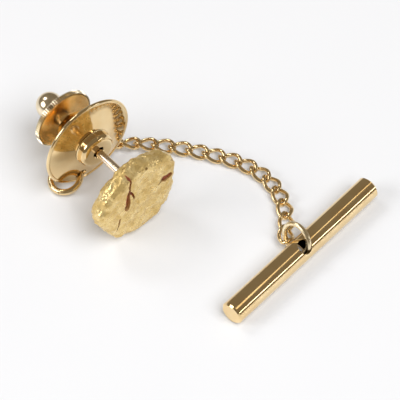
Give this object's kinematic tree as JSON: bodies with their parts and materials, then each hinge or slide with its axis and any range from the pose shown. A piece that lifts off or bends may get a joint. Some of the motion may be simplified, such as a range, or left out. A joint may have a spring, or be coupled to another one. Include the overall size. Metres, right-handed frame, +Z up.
{
  "type": "tie tack",
  "caption": "Gold nugget tie tack: pin with a sprung locking clutch and knurled release disc, and a curb chain to a T-bar on jump rings.",
  "frame": {"origin": "centre of the footprint of the piece lying on its side, on the plane it lies on", "axes": "+Z up from that plane; +X and +Y along it; the pin lies level, heading 50 degrees from +X towards -Y from knob to nugget"},
  "size_m": [0.0392, 0.0288, 0.0118],
  "materials": {
    "nugget_gold": "satin, finely pitted natural gold",
    "iron_matrix": "dull red-brown mineral in the nugget's pockets",
    "pin_gold": "polished",
    "spring_steel": "drawn spring wire",
    "ball_steel": "polished hardened balls",
    "clutch_gold": "mirror-polished gold plate",
    "ring_gold": "polished",
    "chain_gold": "polished wire",
    "bar_ring_gold": "paler satin gold",
    "bar_gold": "polished"
  },
  "bodies": {
    "tack": {"nugget_head": "nugget_gold", "matrix_inclusions": "iron_matrix", "pin_post": "pin_gold"},
    "spring": {"clutch_spring": "spring_steel"},
    "clutch": {"face_plate": "clutch_gold", "back_shell": "clutch_gold", "nose_bushing": "clutch_gold", "clutch_housing": "clutch_gold", "housing_cap": "clutch_gold"},
    "plunger": {"ball_cage_stem": "clutch_gold", "lock_balls": "ball_steel", "knurled_disc": "clutch_gold", "knob": "clutch_gold"},
    "dish_ring": {"dish_ring": "ring_gold"},
    "link_01": {"link_01": "chain_gold"},
    "link_02": {"link_02": "chain_gold"},
    "link_03": {"link_03": "chain_gold"},
    "link_04": {"link_04": "chain_gold"},
    "link_05": {"link_05": "chain_gold"},
    "link_06": {"link_06": "chain_gold"},
    "link_07": {"link_07": "chain_gold"},
    "link_08": {"link_08": "chain_gold"},
    "link_09": {"link_09": "chain_gold"},
    "link_10": {"link_10": "chain_gold"},
    "link_11": {"link_11": "chain_gold"},
    "link_12": {"link_12": "chain_gold"},
    "link_13": {"link_13": "chain_gold"},
    "link_14": {"link_14": "chain_gold"},
    "link_15": {"link_15": "chain_gold"},
    "link_16": {"link_16": "chain_gold"},
    "link_17": {"link_17": "chain_gold"},
    "link_18": {"link_18": "chain_gold"},
    "bar_ring": {"bar_ring": "bar_ring_gold"},
    "t_bar": {"t_bar_tube": "bar_gold", "t_bar_near_plug": "bar_gold", "t_bar_far_plug": "bar_gold"}
  },
  "joints": [
    {"name": "clutch_slide", "type": "slide", "parent": "tack", "child": "spring", "axis": [-0.6428, 0.766, 0], "range_m": [-0.0045, 0.012]},
    {"name": "clutch_spin", "type": "hinge", "parent": "spring", "child": "clutch", "pos_m": [-0.01345, 0.00735, 0.00593], "axis": [-0.6428, 0.766, 0], "continuous": true},
    {"name": "plunger_pull", "type": "slide", "parent": "clutch", "child": "plunger", "axis": [-0.6428, 0.766, 0], "range_m": [0, 0.0005], "stiffness_N_per_m": 1500, "springref_m": -0.0002, "deforming": ["clutch_spring"]},
    {"name": "dish_ring_slip", "type": "hinge", "parent": "clutch", "child": "dish_ring", "pos_m": [-0.01618, 0.006, 0.00095], "axis": [-0.2168, -0.1819, 0.9591], "range_deg": [-3, 10]},
    {"name": "link_01_hinge", "type": "hinge", "parent": "dish_ring", "child": "link_01", "pos_m": [-0.01622, 0.00772, 0.00127], "axis": [0.976, -0.0201, 0.2168], "range_deg": [-10, 10]},
    {"name": "link_02_hinge", "type": "hinge", "parent": "link_01", "child": "link_02", "pos_m": [-0.01531, 0.00895, 0.0014], "axis": [0, 0, 1], "range_deg": [-3, 10]},
    {"name": "link_03_hinge", "type": "hinge", "parent": "link_02", "child": "link_03", "pos_m": [-0.01376, 0.0102, 0.0012], "axis": [-0.5175, 0.8557, 0], "range_deg": [-8, 10]},
    {"name": "link_04_hinge", "type": "hinge", "parent": "link_03", "child": "link_04", "pos_m": [-0.01195, 0.011, 0.00085], "axis": [0, 0, -1], "range_deg": [-10, 6]},
    {"name": "link_05_hinge", "type": "hinge", "parent": "link_04", "child": "link_05", "pos_m": [-0.00998, 0.01135, 0.00082], "axis": [0.0922, -0.9957, 0], "range_deg": [-10, 10]},
    {"name": "link_06_hinge", "type": "hinge", "parent": "link_05", "child": "link_06", "pos_m": [-0.00797, 0.01137, 0.00079], "axis": [0, 0, 1], "range_deg": [-10, 10]},
    {"name": "link_07_hinge", "type": "hinge", "parent": "link_06", "child": "link_07", "pos_m": [-0.00597, 0.01119, 0.0007], "axis": [0.0852, 0.9964, 0], "range_deg": [-10, 10]},
    {"name": "link_08_hinge", "type": "hinge", "parent": "link_07", "child": "link_08", "pos_m": [-0.00397, 0.01095, 0.00061], "axis": [0, 0, -1], "range_deg": [-10, 10]},
    {"name": "link_09_hinge", "type": "hinge", "parent": "link_08", "child": "link_09", "pos_m": [-0.002, 0.01059, 0.00055], "axis": [-0.2241, -0.9746, 0], "range_deg": [-10, 10]},
    {"name": "link_10_hinge", "type": "hinge", "parent": "link_09", "child": "link_10", "pos_m": [-0.00005, 0.01009, 0.00054], "axis": [0, 0, 1], "range_deg": [-10, 10]},
    {"name": "link_11_hinge", "type": "hinge", "parent": "link_10", "child": "link_11", "pos_m": [0.00186, 0.00947, 0.00055], "axis": [0.3398, 0.9405, 0], "range_deg": [-10, 10]},
    {"name": "link_12_hinge", "type": "hinge", "parent": "link_11", "child": "link_12", "pos_m": [0.00374, 0.00875, 0.00056], "axis": [0, 0, -1], "range_deg": [-10, 10]},
    {"name": "link_13_hinge", "type": "hinge", "parent": "link_12", "child": "link_13", "pos_m": [0.00549, 0.00776, 0.00055], "axis": [-0.5701, -0.8216, 0], "range_deg": [-10, 10]},
    {"name": "link_14_hinge", "type": "hinge", "parent": "link_13", "child": "link_14", "pos_m": [0.00697, 0.00641, 0.00055], "axis": [0, 0, 1], "range_deg": [-10, 10]},
    {"name": "link_15_hinge", "type": "hinge", "parent": "link_14", "child": "link_15", "pos_m": [0.00809, 0.00474, 0.00055], "axis": [0.8978, 0.4404, 0], "range_deg": [-10, 10]},
    {"name": "link_16_hinge", "type": "hinge", "parent": "link_15", "child": "link_16", "pos_m": [0.00881, 0.00287, 0.00057], "axis": [0, 0, -1], "range_deg": [-10, 10]},
    {"name": "link_17_hinge", "type": "hinge", "parent": "link_16", "child": "link_17", "pos_m": [0.00914, 0.00089, 0.00062], "axis": [-0.9949, -0.1012, 0], "range_deg": [-10, 10]},
    {"name": "link_18_hinge", "type": "hinge", "parent": "link_17", "child": "link_18", "pos_m": [0.00914, -0.00111, 0.00075], "axis": [0, 0, 1], "range_deg": [-10, 10]},
    {"name": "bar_ring_hinge", "type": "hinge", "parent": "link_18", "child": "bar_ring", "pos_m": [0.00906, -0.00284, 0.00086], "axis": [-0.8824, -0.0013, -0.4705], "range_deg": [-10, 10]},
    {"name": "t_bar_swing", "type": "hinge", "parent": "bar_ring", "child": "t_bar", "pos_m": [0.01019, -0.00357, 0.00213], "axis": [-0.7014, -0.6716, 0.239], "range_deg": [-10, 10]}
  ]
}
